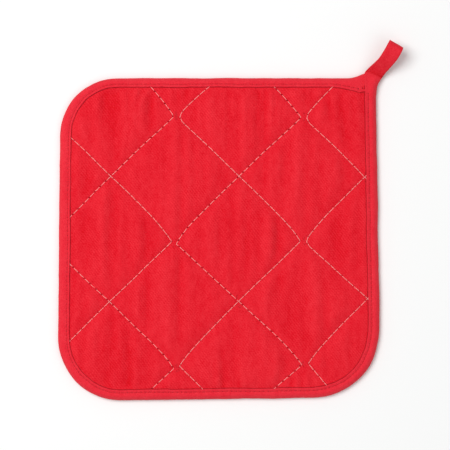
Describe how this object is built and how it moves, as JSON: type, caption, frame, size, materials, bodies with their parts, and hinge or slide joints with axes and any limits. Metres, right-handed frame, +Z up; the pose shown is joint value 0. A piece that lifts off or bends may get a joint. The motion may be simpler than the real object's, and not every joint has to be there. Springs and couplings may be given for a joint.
{
  "type": "pot holder",
  "caption": "Square quilted cotton pot holder with rounded corners, a bound edge and a hanging loop at one corner, for gripping hot dishes or setting them down.",
  "frame": {"origin": "centre of the pad on the surface it rests on", "axes": "+Z up out of the face, +Y towards the loop's end of the pad, +X towards the loop's side"},
  "size_m": [0.2149, 0.2241, 0.0117],
  "materials": {
    "red_twill": "matt cotton twill, red",
    "red_tape": "matt folded cotton tape, red, a little lighter than the twill",
    "red_thread": "soft sewing thread, red",
    "quilting_thread": "soft sewing thread, pale pink",
    "wadding": "undyed needled cotton wadding"
  },
  "bodies": {
    "pad": {"back_cover": "red_twill", "binding_bobbin_thread": "red_thread", "binding_needle_thread": "red_thread", "bobbin_thread_left_first": "quilting_thread", "bobbin_thread_left_second": "quilting_thread", "bobbin_thread_middle_first": "quilting_thread", "bobbin_thread_middle_second": "quilting_thread", "bobbin_thread_right_first": "quilting_thread", "bobbin_thread_right_second": "quilting_thread", "edge_binding": "red_tape", "front_cover": "red_twill", "loop_anchor": "red_tape", "lower_wadding": "wadding", "needle_thread_left_first": "quilting_thread", "needle_thread_left_second": "quilting_thread", "needle_thread_middle_first": "quilting_thread", "needle_thread_middle_second": "quilting_thread", "needle_thread_right_first": "quilting_thread", "needle_thread_right_second": "quilting_thread", "upper_wadding": "wadding"},
    "loop": {"hanging_loop": "red_tape"}
  },
  "joints": [
    {"name": "loop_bend", "type": "hinge", "parent": "pad", "child": "loop", "pos_m": [0.09834, 0.10368, 0.0032], "axis": [0.809, -0.5878, 0], "range_deg": [-90, 90]}
  ]
}
